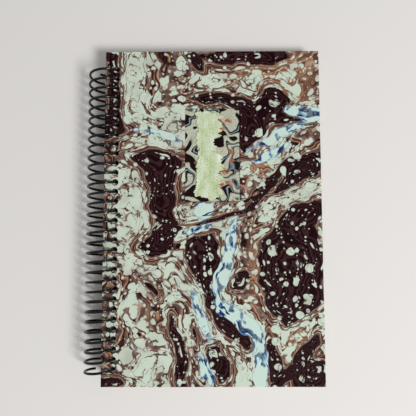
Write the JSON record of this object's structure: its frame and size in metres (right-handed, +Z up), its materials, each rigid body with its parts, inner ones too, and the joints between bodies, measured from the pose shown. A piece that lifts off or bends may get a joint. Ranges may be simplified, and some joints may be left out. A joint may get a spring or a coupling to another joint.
{
  "type": "spiral notebook",
  "caption": "Half-letter notebook with stiff marbled board covers, a sunk label panel in the front one, and a black plastic coil along the spine.",
  "frame": {"origin": "middle of the bounding box at its bottom, on the table that the closed book lies on", "axes": "+X from the spine towards the fore edge, +Y towards the head of the book, +Z up from the table"},
  "size_m": [0.1544, 0.218, 0.0219],
  "materials": {
    "cover_board": "satin",
    "panel_card": "matte",
    "leaves": "matte",
    "coil_plastic": "gloss"
  },
  "bodies": {
    "back_cover": {"back_cover": "cover_board"},
    "coil": {"coil": "coil_plastic"},
    "page_block": {"page_block": "leaves"},
    "front_cover": {"front_cover": "cover_board", "cover_panel": "panel_card"}
  },
  "joints": [
    {"name": "back_cover_hinge", "type": "hinge", "parent": "back_cover", "child": "coil", "pos_m": [-0.06627, 0, 0.01096], "axis": [0, -1, 0], "range_deg": [0, 24]},
    {"name": "page_block_slide", "type": "slide", "parent": "coil", "child": "page_block", "axis": [0, -1, 0], "range_m": [0, 0.00219]},
    {"name": "front_cover_hinge", "type": "hinge", "parent": "page_block", "child": "front_cover", "pos_m": [-0.06627, 0, 0.01096], "axis": [0, -1, 0], "range_deg": [0, 180]}
  ],
  "couplings": [
    {"joint": "page_block_slide", "follows": "front_cover_hinge", "m_per_rad": 0.00069609}
  ]
}
